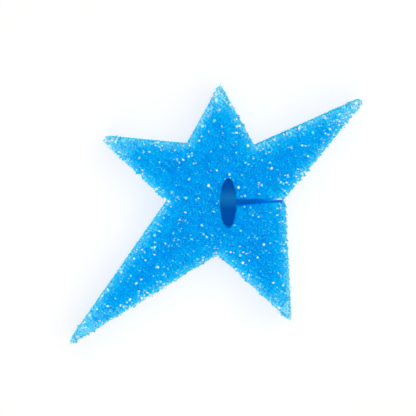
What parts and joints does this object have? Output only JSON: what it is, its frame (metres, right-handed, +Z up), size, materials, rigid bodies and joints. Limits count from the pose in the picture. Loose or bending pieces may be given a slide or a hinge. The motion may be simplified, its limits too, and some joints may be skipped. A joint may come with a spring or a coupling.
{
  "type": "cleaning sponge",
  "caption": "Flat bright-blue cleaning sponge of coarse open-cell foam, cut as a lopsided star, with an oval slot through its middle and a slit out to a notch.",
  "frame": {"origin": "middle of the underside of the sponge's bounding box, on the surface it lies on", "axes": "+X along the widest spread, from the long lower left arm to the right arm, +Y up the page as the star is seen from above, +Z up out of the upper face"},
  "size_m": [0.1262, 0.111, 0.025],
  "materials": {
    "foam": "coarse open-cell foam, bright blue, matt with a few shiny cell films"
  },
  "bodies": {
    "root": {"star_sponge": "foam"}
  },
  "joints": []
}
